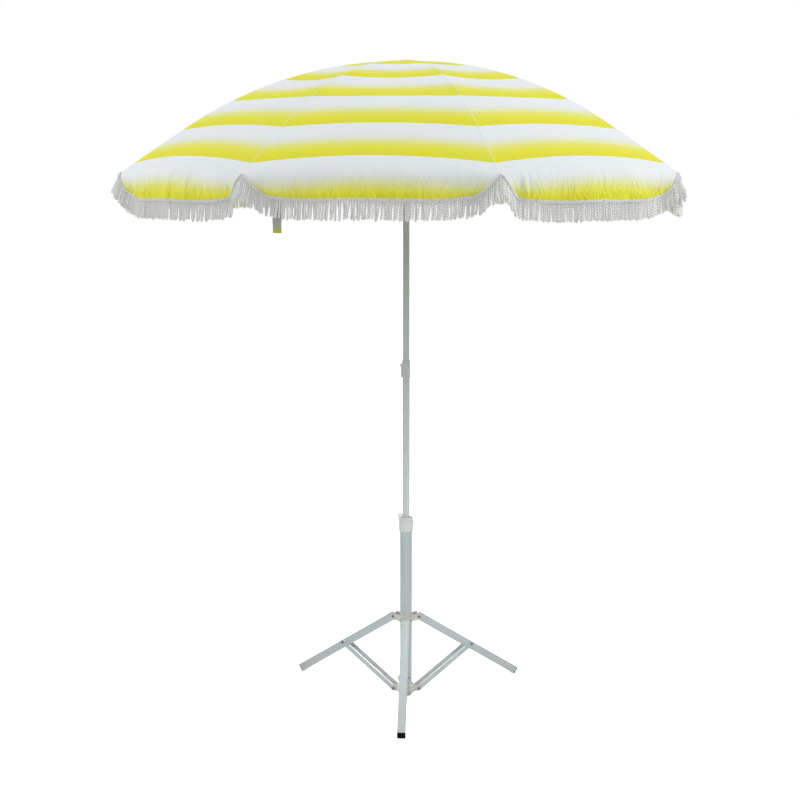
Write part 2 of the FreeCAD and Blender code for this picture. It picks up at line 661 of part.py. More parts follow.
upper_pole()
snap_button()
button_spring()
runner_catch()
crown()
runner()
top_cap()
finish(ringed("crown_wire", "ring_reach", "ring_radius", crown_pin[1]), "crown_ring")
finish(ringed("runner_wire", "ring_reach", "ring_radius", runner_height), "runner_ring")


# ---------------------------------------------------------------- ribs and stretchers
def flat(point, side=0.0):
    """A point of the rib's plane, or beside it, in space."""
    return FreeCAD.Vector(point[0], side, point[1])


def across_disc(centre, radius, width):
    """A disc that lies in the rib's plane, centred on it."""
    return Part.makeCylinder(radius, width, flat(centre, -width / 2), FreeCAD.Vector(0, 1, 0))


def rib_shape():
    """A steel wire rib in two arcs: eyelet, lug for the stretcher, and round tip."""
    middle = rib_point(size("joint_arc"))[:2]
    half_slope = (crown_sweep + end_slope) / 2
    path = Part.Wire([
        Part.Arc(flat(crown_pin), flat(middle), flat(rib_bend)).toShape(),
        Part.Arc(flat(rib_bend), flat(seam(half_slope, rib_inside)), flat(rib_tip)).toShape(),
    ])
    start = FreeCAD.Vector(math.cos(root_slope), 0, -math.sin(root_slope))
    section = Part.Wire([Part.makeCircle(size("rib_radius"), flat(crown_pin), start)])
    wire = path.makePipeShell([section], True, True)
    eyelet = across_disc(crown_pin, size("eyelet_radius"), size("eyelet_wall"))
    lug_height = size("joint_drop")
    lug = Part.makeBox(2 * size("fork_radius"), size("lug_wall"), lug_height)
    lug.translate(FreeCAD.Vector(-size("fork_radius"), -size("lug_wall") / 2, 0))
    lug.rotate(FreeCAD.Vector(0, 0, 0), FreeCAD.Vector(0, 1, 0), math.degrees(joint_slope))
    lug.translate(flat(joint_pin))
    nose = across_disc(joint_pin, size("fork_radius"), size("lug_wall"))
    ball_inside = rib_inside + size("tip_radius") - size("rib_radius") + size("side_gap")
    tip = Part.makeSphere(size("tip_radius"), flat(seam(end_slope, ball_inside)))
    solid = wire.fuse([eyelet, lug, nose, tip])
    ring_hole = across_disc(crown_pin, size("ring_radius") + size("side_gap"),
                            4 * size("eyelet_wall"))
    rivet_hole = across_disc(joint_pin, size("rivet_radius") + size("pivot_fit"),
                             4 * size("lug_wall"))
    return solid.cut([ring_hole, rivet_hole]).removeSplitter()


def stretcher_shape():
    """A straight rod with an eyelet at the runner, and a riveted fork at the rib."""
    runner_pin = (size("ring_reach"), runner_height)
    cheek = size("lug_wall") / 2 + size("side_gap")
    width = 2 * (cheek + size("fork_wall"))
    origin = (0.0, 0.0)
    end = (stretcher_length, 0.0)
    throat = size("fork_radius") + 2 * size("side_gap")
    reach = stretcher_length - throat - size("fork_wall")
    bar = Part.makeCylinder(size("rib_radius"), reach, flat(origin), FreeCAD.Vector(1, 0, 0))
    eyelet = across_disc(origin, size("eyelet_radius"), size("eyelet_wall"))
    fork = Part.makeBox(size("fork_radius") + 3 * size("fork_wall"), width,
                        2 * size("fork_radius") - size("fork_wall"))
    fork.translate(FreeCAD.Vector(reach - size("fork_wall"), -width / 2,
                                  size("fork_wall") / 2 - size("fork_radius")))
    knuckle = across_disc(end, size("fork_radius"), width)
    gap = Part.makeBox(4 * size("fork_radius"), 2 * cheek, 4 * size("fork_radius"))
    gap.translate(FreeCAD.Vector(stretcher_length - throat, -cheek, -2 * size("fork_radius")))
    rivet = across_disc(end, size("rivet_radius"), width)
    ring_hole = across_disc(origin, size("ring_radius") + size("side_gap"),
                            4 * size("eyelet_wall"))
    solid = bar.fuse([eyelet, fork, knuckle]).cut([gap, ring_hole]).fuse([rivet])
    solid = solid.removeSplitter()
    solid.rotate(FreeCAD.Vector(0, 0, 0), FreeCAD.Vector(0, 1, 0), -stretcher_rise)
    solid.translate(flat(runner_pin))
    return solid


# ---------------------------------------------------------------- cloth
ACROSS = (0, 0.12, 0.25, 0.45, 0.7, 1)
CROWN_POINTS = 7
RIM_POINTS = 4
SKIRT_POINTS = 4
tip_height = seam(tip_slope)[1]


def steps(low, high, count):
    """Evenly spaced values from low up to, and without, high."""
    return [low + (high - low) * place / count for place in range(count)]


def seam_slopes():
    """Slopes of the seam from crown to rim, with the bend between its two arcs among them."""
    first = math.asin(size("cloth_hole") / size("crown_arc"))
    return (steps(first, crown_sweep, CROWN_POINTS)
            + steps(crown_sweep, tip_slope, RIM_POINTS) + [tip_slope])


def cloth_wire(share):
    """The closed outline of the cloth in the upright plane at this share of the half panel.

    The panel is straight from rib to mid-panel, apart from the belly that the skirt's fullness
    gives it near the rim. Below the rim the skirt and its fringe hang down.
    """
    part = abs(share)
    chord_x = 1 - part * math.sin(half_panel) ** 2
    chord_y = part * math.cos(half_panel) * math.sin(half_panel)
    angle = math.atan2(chord_y, chord_x)
    stretch = math.hypot(chord_x, chord_y)
    fullness = 1 - (1 - part) ** 2
    rows = []
    for slope in seam_slopes():
        reach, height = seam(slope)
        full = max(0.0, reach - size("belly_start")) / (size("tip_reach") - size("belly_start"))
        belly = size("panel_belly") * fullness * full ** 2
        rows.append((reach * stretch + belly * math.sin(slope),
                     height + belly * math.cos(slope)))
    rim_reach, rim_height = rows[-1]
    rise = math.sin(math.pi / 2 * min(1.0, part / size("hem_rise_share")))
    end_height = tip_height - size("hem_drop") * rise - size("fringe_drop")
    skirt = []
    for place in range(SKIRT_POINTS):
        down = place / (SKIRT_POINTS - 1)
        flare = size("hem_flare") * fullness * math.sin(math.pi / 2 * down)
        skirt.append((rim_reach + flare, rim_height + (end_height - rim_height) * down))
    return angle * math.copysign(1, share), rows, skirt


def offset_line(points, wall):
    """The same line moved inwards by the cloth's thickness."""
    moved = []
    for place, (reach, height) in enumerate(points):
        before = points[max(0, place - 1)]
        after = points[min(len(points) - 1, place + 1)]
        run = math.dist(before, after)
        along = ((after[0] - before[0]) / run, (after[1] - before[1]) / run)
        moved.append((reach + wall * along[1], height - wall * along[0]))
    return moved


def edge_through(points, angle):
    """A smooth edge through points of the upright plane at this angle."""
    turn = FreeCAD.Rotation(FreeCAD.Vector(0, 0, 1), math.degrees(angle))
    placed = [turn.multVec(flat(point)) for point in points]
    if len(placed) == 2:
        return Part.makeLine(placed[0], placed[1])
    curve = Part.BSplineCurve()
    curve.interpolate(placed)
    return curve.toShape()


def canopy_shape():
    """One panel of the canopy, from mid-panel to mid-panel over its rib, with its fringe."""
    wires = []
    short = 1 - size("panel_gap") / (2 * size("tip_reach") * math.sin(half_panel))
    shares = [-part for part in reversed(ACROSS[1:])] + list(ACROSS)
    for share in shares:
        angle, rows, skirt = cloth_wire(share)
        angle *= short
        inner_rows = offset_line(rows, size("cloth_wall"))
        inner_skirt = offset_line(skirt, size("cloth_wall"))
        corner = (inner_skirt[0][0], inner_rows[-1][1])
        inner_rows[-1] = corner
        inner_skirt[0] = corner
        wires.append(Part.Wire([
            edge_through(rows, angle), edge_through(skirt, angle),
            edge_through([skirt[-1], inner_skirt[-1]], angle),
            edge_through(inner_skirt[::-1], angle), edge_through(inner_rows[::-1], angle),
            edge_through([inner_rows[0], rows[0]], angle),
        ]))
    return Part.makeLoft(wires, True, True)


def closure_strap():
    """The tape that ties the closed canopy, sewn flat inside the skirt beside its rib."""
    middle = (size("tip_reach") * math.cos(half_panel)
              * math.tan(math.radians(size("strap_turn_angle")) - half_panel))
    strap_top = tip_height - size("strap_below_rim")
    faces = []
    for side in (-1, 1):
        part = 1 + (middle + side * size("strap_width") / 2) / (
            size("tip_reach") * math.sin(half_panel))
        angle, _, skirt = cloth_wire(part)
        (rim_reach, rim_height), (end_reach, end_height) = skirt[0], skirt[-1]
        down = (rim_height - strap_top) / (rim_height - end_height)
        reach = rim_reach + (end_reach - rim_reach) * math.sin(math.pi / 2 * down)
        faces.append(reach * math.cos(angle - half_panel))
    tape = Part.makeBox(size("strap_wall"), size("strap_width"), size("strap_length"))
    tape.translate(FreeCAD.Vector(
        min(faces) - size("cloth_wall") - size("side_gap") - size("strap_wall"),
        middle - size("strap_width") / 2, strap_top - size("strap_length")))
    tape.rotate(FreeCAD.Vector(0, 0, 0), FreeCAD.Vector(0, 0, 1), math.degrees(half_panel))
    return tape


rib_solid = rib_shape()
stretcher_solid = stretcher_shape()
canopy_solid = canopy_shape()
for place, angle in enumerate(rib_angles, start=1):
    formed(f"rib_{place}", rib_solid, angle)
    formed(f"stretcher_{place}", stretcher_solid, angle)
    formed(f"canopy_{place}", canopy_solid, angle)
formed("closure_strap", closure_strap(), rib_angles[-1])


# ---------------------------------------------------------------- check and write
doc.recompute()
for obj in doc.Objects:
    if "Invalid" in obj.State or "Error" in obj.State:
        raise SystemExit(f"{obj.Name} failed: {obj.State}")
for obj in finished:
    if obj.Shape.isNull() or not obj.Shape.isValid():
        raise SystemExit(f"{obj.Label} is not a valid shape")

os.makedirs("parts", exist_ok=True)
for obj in finished:
    obj.Shape.exportStep(f"parts/{obj.Label}.step")
    print(f"{obj.Label}: {len(obj.Shape.Solids)} solids, {obj.Shape.Volume:.0f} mm3")
print(f"leg reach {leg_reach:.3f} tilt {leg_tilt:.4f} strut {-strut_tilt:.4f}")
print(f"crown pin {crown_pin} joint {joint_pin} stretcher {stretcher_length:.3f}")
print(f"rise {stretcher_rise:.3f} runner {runner_height:.3f} tip {rib_tip}")
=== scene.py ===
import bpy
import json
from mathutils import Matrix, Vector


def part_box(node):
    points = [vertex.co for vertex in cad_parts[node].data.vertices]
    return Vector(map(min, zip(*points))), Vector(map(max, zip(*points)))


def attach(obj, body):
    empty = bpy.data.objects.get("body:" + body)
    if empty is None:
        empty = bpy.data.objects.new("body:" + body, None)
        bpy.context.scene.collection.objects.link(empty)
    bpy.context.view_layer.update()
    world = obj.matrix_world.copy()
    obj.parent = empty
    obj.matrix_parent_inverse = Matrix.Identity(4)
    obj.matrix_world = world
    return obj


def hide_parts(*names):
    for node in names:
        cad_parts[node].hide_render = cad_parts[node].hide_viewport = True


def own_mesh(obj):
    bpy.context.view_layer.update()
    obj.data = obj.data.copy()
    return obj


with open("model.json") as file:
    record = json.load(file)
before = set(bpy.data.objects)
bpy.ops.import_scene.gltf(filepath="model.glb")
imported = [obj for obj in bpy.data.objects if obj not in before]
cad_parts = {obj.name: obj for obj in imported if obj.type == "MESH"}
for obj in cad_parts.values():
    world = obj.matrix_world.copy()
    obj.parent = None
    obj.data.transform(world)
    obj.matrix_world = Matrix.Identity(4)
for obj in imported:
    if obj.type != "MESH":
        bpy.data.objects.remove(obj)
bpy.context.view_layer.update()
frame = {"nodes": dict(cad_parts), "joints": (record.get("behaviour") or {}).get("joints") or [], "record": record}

import json
import math

import bpy
import numpy as np
from mathutils import Vector

# Beach umbrella with an ombre-striped, fringed canopy, on a folding tripod base.


# ---------------------------------------------------------------- camera
# The viewer stands almost five metres in front of the umbrella at eye height, a little to the
# right of its front leg, and looks slightly down.
scene = bpy.context.scene
VIEW_DISTANCE = 4.717
VIEW_HEIGHT = 1.686
VIEW_SIDE = math.radians(1.93)
VIEW_DOWN = math.radians(8.79)
VIEW_LEFT = math.radians(0.234)
LENS = 68.35
camera_data = bpy.data.cameras.new("camera")
camera_data.lens = LENS
camera = bpy.data.objects.new("camera", camera_data)
scene.collection.objects.link(camera)
camera.location = (VIEW_DISTANCE * math.sin(VIEW_SIDE), -VIEW_DISTANCE * math.cos(VIEW_SIDE),
                   VIEW_HEIGHT)
camera.rotation_euler = (math.pi / 2 - VIEW_DOWN, 0, VIEW_SIDE + VIEW_LEFT)
scene.camera = camera
scene.view_settings.view_transform = "Standard"


# ---------------------------------------------------------------- floor, sky and lamps
# A plain pale studio: a white floor that still takes a soft shadow, a white surround, three large
# soft lamps, of which the one on the right is the strongest, and a narrow one aimed at the stand.
class Wire:
    """A socket of a node tree, for use in a Python expression."""

    def __init__(self, tree, socket=None):
        self.tree = tree
        self.socket = socket

    def node(self, kind, settings, inputs, output=0):
        """Add a node: its settings come first, then the values or links of its sockets."""
        made = self.tree.nodes.new(kind)
        for name, value in settings.items():
            if name == "stops":
                ramp = made.color_ramp.elements
                ramp.remove(ramp[1])
                ramp[0].position, ramp[0].color = value[0]
                for place, colour in value[1:]:
                    ramp.new(place).color = colour
            else:
                setattr(made, name, value)
        for name, value in inputs.items():
            if isinstance(value, Wire):
                self.tree.links.new(value.socket, made.inputs[name])
            else:
                made.inputs[name].default_value = value
        return Wire(self.tree, made.outputs[output])

    def maths(self, operation, first, second):
        return self.node("ShaderNodeMath", {"operation": operation}, {0: first, 1: second})

    def __add__(self, other):
        return self.maths("ADD", self, other)

    def __sub__(self, other):
        return self.maths("SUBTRACT", self, other)

    def __rsub__(self, other):
        return self.maths("SUBTRACT", other, self)

    def __mul__(self, other):
        return self.maths("MULTIPLY", self, other)

    def __truediv__(self, other):
        return self.maths("DIVIDE", self, other)

    __radd__ = __add__
    __rmul__ = __mul__


def socket_named(shader, name):
    """The socket whose label is this name, with blanks for underscores."""
    return next(s for s in shader.inputs if s.name.lower().replace(" ", "_") == name)


def new_finish(name, **plain):
    """A material: returns it, a wire to build on, and its Principled shader."""
    made = bpy.data.materials.new(name)
    made.use_nodes = True
    shader = made.node_tree.nodes["Principled BSDF"]
    for socket, value in plain.items():
        socket_named(shader, socket).default_value = value
    return made, Wire(made.node_tree), shader


def feed(shader, **wires):
    """Join wires to a shader's sockets."""
    for socket, wire in wires.items():
        wire.tree.links.new(wire.socket, socket_named(shader, socket))


FLOOR_GLOW = 0.55
floor_finish, wire, floor_shader = new_finish("studio_floor", roughness=0.9,
                                              base_color=(0.9, 0.9, 0.9, 1),
                                              emission_strength=1.0)
in_view = wire.node("ShaderNodeLightPath", {}, {}, "Is Camera Ray")
feed(floor_shader, emission_color=in_view * FLOOR_GLOW)

FLOOR_HALF = 40.0
floor_mesh = bpy.data.meshes.new("studio_floor")
corners = [(-FLOOR_HALF, -FLOOR_HALF, 0), (FLOOR_HALF, -FLOOR_HALF, 0),
           (FLOOR_HALF, FLOOR_HALF, 0), (-FLOOR_HALF, FLOOR_HALF, 0)]
floor_mesh.from_pydata(corners, [], [(0, 1, 2, 3)])
floor_mesh.materials.append(floor_finish)
floor = bpy.data.objects.new("studio_floor", floor_mesh)
scene.collection.objects.link(floor)

world = bpy.data.worlds.new("studio")
scene.world = world
world.use_nodes = True
sky = Wire(world.node_tree)
in_view = sky.node("ShaderNodeLightPath", {}, {}, "Is Camera Ray")
mirrored = sky.node("ShaderNodeLightPath", {}, {}, "Is Glossy Ray")
shown = sky.maths("MAXIMUM", in_view, mirrored)
SKY_LIGHT = 0.62
ambient = sky.node("ShaderNodeBackground", {},
                   {"Color": (0.96, 0.98, 1.0, 1), "Strength": SKY_LIGHT})
white = sky.node("ShaderNodeBackground", {}, {"Color": (1, 1, 1, 1), "Strength": 1.0})
surround = sky.node("ShaderNodeMixShader", {}, {0: shown, 1: ambient, 2: white})
world.node_tree.links.new(surround.socket,
                          world.node_tree.nodes["World Output"].inputs["Surface"])

# place, height of the aim and width in metres, watts, and spread in degrees of each lamp
LAMPS = [((4.0, -0.6, 4.2), 1.3, 2.6, 112, 180), ((-4.0, -0.6, 4.2), 1.3, 2.6, 88, 180),
         ((0.0, -5.0, 1.4), 1.3, 2.6, 14, 180), ((0.0, -2.8, 2.5), 0.1, 0.8, 1.3, 18)]
for number, (place, aim_height, width, watts, spread) in enumerate(LAMPS):
    lamp_data = bpy.data.lights.new(f"lamp_{number}", "AREA")
    lamp_data.size = width
    lamp_data.energy = watts
    lamp_data.spread = math.radians(spread)
    lamp = bpy.data.objects.new(f"lamp_{number}", lamp_data)
    scene.collection.objects.link(lamp)
    lamp.location = place
    aim = Vector((0, 0, aim_height)) - Vector(place)
    lamp.rotation_euler = aim.to_track_quat("-Z", "Y").to_euler()


# ---------------------------------------------------------------- tubes: base, legs, struts, poles
# Round and square steel tube and flat bar, with a grey-white powder coat. The coat is a little
# mottled and scuffed along the tubes, and dusty near the ground.

# heights over which the coat changes: dusty foot, painted shade on the stand, and painted shade of the canopy on
# the upper pole
DUSTY_FOOT, SHADED_STAND, SHADED_POLE = (0.0, 0.12), (0.50, 0.62), (1.12, 1.45)
# the colour of the dust, and of the painted shade on the upper pole
DUST, SHADED_COAT = (0.35, 0.33, 0.29, 1), (0.27, 0.31, 0.25, 1)


def grey(level):
    return (level, level, level, 1)


def darker(colour, share):
    """A colour with each of its channels cut to this share."""
    return (*(share * channel for channel in colour[:3]), 1)


def noise(wire, coordinates, scale, detail=2.0):
    return wire.node("ShaderNodeTexNoise", {},
                     {"Vector": coordinates, "Scale": scale, "Detail": detail}, "Fac")


def blend_colours(wire, share, first, second):
    return wire.node("ShaderNodeMix", {"data_type": "RGBA"}, {0: share, 6: first, 7: second}, 2)


def between(wire, value, low, high):
    """0 below low, 1 above high, smooth between them."""
    return wire.node("ShaderNodeMapRange", {"interpolation_type": "SMOOTHSTEP"},
                     {"Value": value, "From Min": low, "From Max": high})


def relief(wire, height, strength, distance):
    return wire.node("ShaderNodeBump", {}, {"Height": height, "Strength": strength,
                                            "Distance": distance})


def in_place(wire):
    return wire.node("ShaderNodeTexCoord", {}, {}, "Object")


def coated_steel(name, pale, dark, painted_shade=0.0):
    """Powder coat in two shades, with painted shade on the stand and a painted green-grey shade on the pole under
    the canopy.
    """
    made, wire, shader = new_finish(name, specular_ior_level=0.15)
    place = in_place(wire)
    mottle = noise(wire, place, 9.0, 4.0)
    along = wire.node("ShaderNodeMapping", {}, {"Vector": place, "Scale": (260, 260, 5)})
    scuff = between(wire, noise(wire, along, 1.0, 3.0), 0.60, 0.74)
    height = wire.node("ShaderNodeSeparateXYZ", {}, {"Vector": place}, "Z")
    dust = (1 - between(wire, height, *DUSTY_FOOT)) * noise(wire, place, 70.0, 3.0)
    # a darker coat, for the real scuffs and for the painted shade on the stand
    darkened = darker(dark, 0.8)
    coat = blend_colours(wire, mottle, dark, pale)
    # painted shade: the stand below the pole is darkened, standing in for the dimmer light on it
    coat = blend_colours(wire, 1 - between(wire, height, *SHADED_STAND), coat, darkened)
    # painted shade: the upper pole under the canopy is darkened and greened, for the canopy's shadow and the
    # yellow light through it
    canopy_shade = between(wire, height, *SHADED_POLE) * painted_shade
    coat = blend_colours(wire, canopy_shade, coat, SHADED_COAT)
    scuffed = blend_colours(wire, scuff * 0.35, coat, darkened)
    feed(shader, base_color=blend_colours(wire, dust * 0.5, scuffed, DUST),
         roughness=0.60 + mottle * 0.16 + scuff * 0.15,
         normal=relief(wire, noise(wire, place, 900.0), 0.25, 0.0003))
    return made


SLOT_OF = {part["node"]: part["material_slot"] for part in frame["record"]["subparts"]}


def paint(node, made):
    """Give one CAD node its finish."""
    mesh = frame["nodes"][node].data
    mesh.materials.clear()
    mesh.materials.append(made)


def dress(slot_name, made):
    """Give every CAD node of one slot its finish."""
    for node, slot_here in SLOT_OF.items():
        if slot_here == slot_name:
            paint(node, made)


# the last value is the strength of the canopy's painted shade on the upper pole
dress("pole_coat", coated_steel("pole_coat", (0.49, 0.55, 0.56, 1), (0.44, 0.49, 0.50, 1), 0.52))
dress("rib_steel", coated_steel("rib_enamel", (0.62, 0.66, 0.65, 1), (0.54, 0.58, 0.57, 1)))


# ---------------------------------------------------------------- moulded plastic pieces
# The foot hub and the leg hub are cream nylon, the collar, sleeve, crown and runner are off-white,
# the top cap is yellow and the leg plugs are black. Each keeps the fine grain of its mould and a
# few rubbed patches.
def moulded(name, pale, dark, rough, grain=650.0, gloss=0.5):
    made, wire, shader = new_finish(name, specular_ior_level=gloss)
    place = in_place(wire)
    patches = noise(wire, place, 28.0, 3.0)
    rubbed = between(wire, noise(wire, place, 160.0, 4.0), 0.56, 0.75)
    feed(shader, base_color=blend_colours(wire, patches, dark, pale),
         roughness=rough - rubbed * 0.14 + patches * 0.06,
         normal=relief(wire, noise(wire, place, grain) + rubbed * 0.3, 0.3, 0.0003))
    return made


dress("cream_plastic", moulded("cream_plastic", (0.47, 0.46, 0.42, 1), (0.39, 0.38, 0.34, 1),
                               rough=0.6))
dress("white_plastic", moulded("white_plastic", (0.49, 0.52, 0.51, 1), (0.43, 0.455, 0.45, 1),
                               rough=0.55))
paint("top_cap", moulded("yellow_plastic", (0.74, 0.72, 0.05, 1), (0.66, 0.63, 0.03, 1),
                         rough=0.5))
dress("black_plastic", moulded("black_plastic", (0.006, 0.006, 0.007, 1), (0.003, 0.003, 0.003, 1),
                               rough=0.75, grain=420.0, gloss=0.06))


# ---------------------------------------------------------------- pins, rings and springs
# Rivets and pivot pins of dull, oiled steel, and plated wire rings, button, catch and band spring.
def bare_metal(name, pale, dark, rough):
    made, wire, shader = new_finish(name, metallic=1.0)
    place = in_place(wire)
    grain = wire.node("ShaderNodeMapping", {}, {"Vector": place, "Scale": (900, 900, 90)})
    lines = noise(wire, grain, 1.0, 3.0)
    stain = noise(wire, place, 120.0, 4.0)
    feed(shader, base_color=blend_colours(wire, stain, dark, pale),
         roughness=rough + lines * 0.14 + stain * 0.1,
         normal=relief(wire, lines, 0.3, 0.0002))
    return made


dress("pin_steel", bare_metal("pin_steel", grey(0.20), grey(0.07), rough=0.36))
dress("bright_steel", bare_metal("bright_steel", grey(0.72), grey(0.50), rough=0.2))


# ---------------------------------------------------------------- canopy cloth
# Eight gores of plain-weave cotton canvas, printed with ombre stripes, seamed over the ribs. Each
# piece here is the cloth round one rib, from mid-panel to mid-panel. The cloth is tight over the
# ribs, bellies out between them near the rim, and gathers into small folds above the hem.
JOINTS = {joint["name"]: joint for joint in frame["joints"]}
RIB_COUNT = sum(name.startswith("rib_fold") for name in JOINTS)
HALF_PANEL = math.pi / RIB_COUNT
CAP_HEIGHT = 0.005
CLOTH_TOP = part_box("top_cap")[1].z - CAP_HEIGHT
CLOTH_HOLE, CLOTH_WALL = 0.014, 0.0009
# over a rib the dome is two arcs: the radius and sweep of the upper, the radius and end of the rim
CROWN_ARC, CROWN_SWEEP = 1.213, math.radians(32.6)
RIM_ARC, TIP_REACH = 5.484, 0.870
CROWN_LENGTH = CROWN_ARC * CROWN_SWEEP
TIP_SLOPE = math.asin(math.sin(CROWN_SWEEP)
                      + (TIP_REACH - CROWN_ARC * math.sin(CROWN_SWEEP)) / RIM_ARC)
SEAM_LENGTH = CROWN_LENGTH + RIM_ARC * (TIP_SLOPE - CROWN_SWEEP)
# between the ribs the cloth bellies out near the rim and sags nearer the crown
BELLY, BELLY_START = 0.028, 0.45
CROWN_SAG, SAG_START, SAG_END = 0.008, 0.13, 0.62
# below the rib tips hangs a skirt, steeper and shorter at its corners, which rises over the tips
SKIRT, CORNER_SLOPE, MIDDLE_SLOPE = 0.076, math.radians(106), math.radians(80)
HEM_CORNER, CORNER_SHARE = 0.20, 0.60
# near the crown the edges of two sectors lap, one just under the other
CROWN_LAP, LAP_END, LAP_DROP = 0.050, 0.52, 0.0015
# how far each gore bellies out, and how long its skirt hangs, against the usual
GORE_BELLY = np.array([1.0, 0.45, 1.0, 0.9, 1.0, 0.6, 1.0, 1.0])
GORE_SKIRT = np.array([1.0, 1.0, 1.02, 0.98, 1.02, 1.0, 1.01, 0.90])
# the folded seam over each rib stands a little proud
WELT_TALL, WELT_WIDE = 0.0011, 0.0030
SHARP_FOLD = math.radians(50)
# steps of the cloth's grid, closer together at the seams and at the hem
ACROSS_STEPS, DOWN_STEPS = 120, 130
SEAM_CROWDING, HEM_CROWDING = 1.4, 1.35


def ease(value):
    value = np.clip(value, 0, 1)
    return value * value * (3 - 2 * value)


def gathers(panel, side, above, folds=18):
    """The height of the small folds of one panel, at a distance from its middle and its hem."""
    dice = np.random.default_rng(300 + panel)
    raised = np.zeros_like(side)
    for _ in range(folds):
        middle = dice.uniform(-0.30, 0.30)
        lean = -0.8 * middle + dice.uniform(-0.5, 0.5)
        width = dice.uniform(0.0045, 0.0085)
        reach = dice.uniform(0.030, 0.070)
        size = width * dice.uniform(0.35, 0.62) * dice.choice([1, 1, -0.8])
        off = (side - middle - lean * above) / (width * (1 + 3 * above))
        crest = np.exp(-off ** 2) - 0.45 * np.exp(-(off - 1.6) ** 2)
        raised += size * crest * (0.4 + 0.6 * ease(above / 0.025)) * np.exp(-(above / reach) ** 2)
    wave = 0.0035 * np.sin(side * 33 + dice.uniform(0, 6)) * np.exp(-(above / 0.05) ** 2)
    return raised + wave * ease((0.31 - np.abs(side)) / 0.06)


def cloth_rows(rib):
    """The cloth round one rib: its points, their places on it and their places on their gore."""
    # how far each column lies towards mid-panel, and each row down the cloth
    step = np.linspace(-1, 1, 2 * ACROSS_STEPS + 1)[:, None]
    part = np.abs(step) ** SEAM_CROWDING
    share = np.sign(step) * part
    fullness = 1 - (1 - part) ** 2
    rise = 1 - (1 - np.clip(part / HEM_CORNER, 0, 1)) ** 1.6
    gore = np.where(share > 0, rib, (rib - 1) % RIB_COUNT)
    depth = CORNER_SHARE + (1 - CORNER_SHARE) * fullness
    end = SEAM_LENGTH + SKIRT * GORE_SKIRT[gore] * rise * depth
    first = CROWN_ARC * math.asin(CLOTH_HOLE / CROWN_ARC)
    step = np.linspace(0, 1, DOWN_STEPS + 1)[None, :]
    down = first + (end - first) * (1 - (1 - step) ** HEM_CROWDING)
    # the slope of each row, and from it how far out and how high it comes
    slope = np.where(down < CROWN_LENGTH, down / CROWN_ARC,
                     CROWN_SWEEP + (np.minimum(down, SEAM_LENGTH) - CROWN_LENGTH) / RIM_ARC)
    turn = ease((down - SEAM_LENGTH + 0.02 + 0.015 * fullness) / (0.03 + 0.05 * fullness))
    skirt_slope = CORNER_SLOPE + (MIDDLE_SLOPE - CORNER_SLOPE) * fullness ** 2
    slope = slope + (skirt_slope - TIP_SLOPE) * rise * turn
    run = np.diff(down, axis=1)
    middle = (slope[:, 1:] + slope[:, :-1]) / 2
    start_column = np.zeros((len(share), 1))
    reach = CLOTH_HOLE + np.hstack([start_column, np.cumsum(np.cos(middle) * run, axis=1)])
    drop = CROWN_ARC * (1 - math.cos(first / CROWN_ARC))
    height = CLOTH_TOP - drop - np.hstack([start_column,
                                           np.cumsum(np.sin(middle) * run, axis=1)])
    # the place of each column round the pole, past mid-panel where the edges lap
    lap = CROWN_LAP * np.maximum(1 - reach / LAP_END, 0) / (reach * math.sin(HALF_PANEL))
    part = part + part ** 4 * np.minimum(lap, 0.9)
    share = np.sign(share) * part
    across = 1 - part * math.sin(HALF_PANEL) ** 2
    aside = part * math.cos(HALF_PANEL) * math.sin(HALF_PANEL)
    angle = np.arctan2(aside, across) * np.sign(share)
    chord = reach * math.sin(HALF_PANEL)
    across_cloth = share * chord
    # how far the cloth stands off the dome
    swell = np.clip((reach - BELLY_START) / (TIP_REACH - BELLY_START), 0, 1) ** 1.4
    sagging = np.clip((reach - SAG_START) / (SAG_END - SAG_START), 0, 1)
    crown_sag = CROWN_SAG * fullness * np.sin(math.pi * sagging) ** 2
    raised = BELLY * GORE_BELLY[gore] * fullness * swell - crown_sag
    raised = raised - LAP_DROP * ease((part - 1) / 0.15)
    raised = raised + WELT_TALL * np.exp(-(across_cloth / WELT_WIDE) ** 4)
    side = np.where(share > 0, -1, 1) * (1 - part) * chord
    above = end - down
    for panel, half in ((rib, share > 0), ((rib - 1) % RIB_COUNT, share < 0)):
        folds = gathers(panel, side, above) * ease(part / 0.12)
        raised = raised + np.where(half, folds, 0)
    spread = reach * np.hypot(across, aside) + raised * np.sin(slope)
    points = np.stack([spread * np.cos(angle), spread * np.sin(angle),
                       height + raised * np.cos(slope)], axis=-1)
    gore_place = np.stack([side, down, np.broadcast_to(3.0 * gore, down.shape)], axis=-1)
    return points, across_cloth, down, gore_place


def turned(points, angle):
    """Points turned about the pole's axis."""
    c, s = math.cos(angle), math.sin(angle)
    return points @ np.array([[c, s, 0], [-s, c, 0], [0, 0, 1]])


def new_object(name, points, faces, made, edges=()):
    mesh = bpy.data.meshes.new(name)
    mesh.from_pydata([tuple(p) for p in points], edges, faces)
    mesh.polygons.foreach_set("use_smooth", [True] * len(mesh.polygons))
    mesh.materials.append(made)
    thing = bpy.data.objects.new(name, mesh)
    scene.collection.objects.link(thing)
    return thing


def set_uv(mesh, uv_of_vertex):
    layer = mesh.uv_layers.new(name="UVMap")
    corners = np.empty(len(mesh.loops), int)
    mesh.loops.foreach_get("vertex_index", corners)
    layer.data.foreach_set("uv", np.asarray(uv_of_vertex)[corners].ravel())


def as_plain_mesh(thing):
    """Turn the result of an object's modifiers into its mesh."""
    shape = thing.evaluated_get(bpy.context.evaluated_depsgraph_get())
    result = bpy.data.meshes.new_from_object(shape)
    thing.modifiers.clear()
    thing.data = result
    return thing


def grid_faces(rows, columns):
    corners = [row * columns + column
               for row in range(rows - 1) for column in range(columns - 1)]
    return [(n, n + 1, n + columns + 1, n + columns) for n in corners]


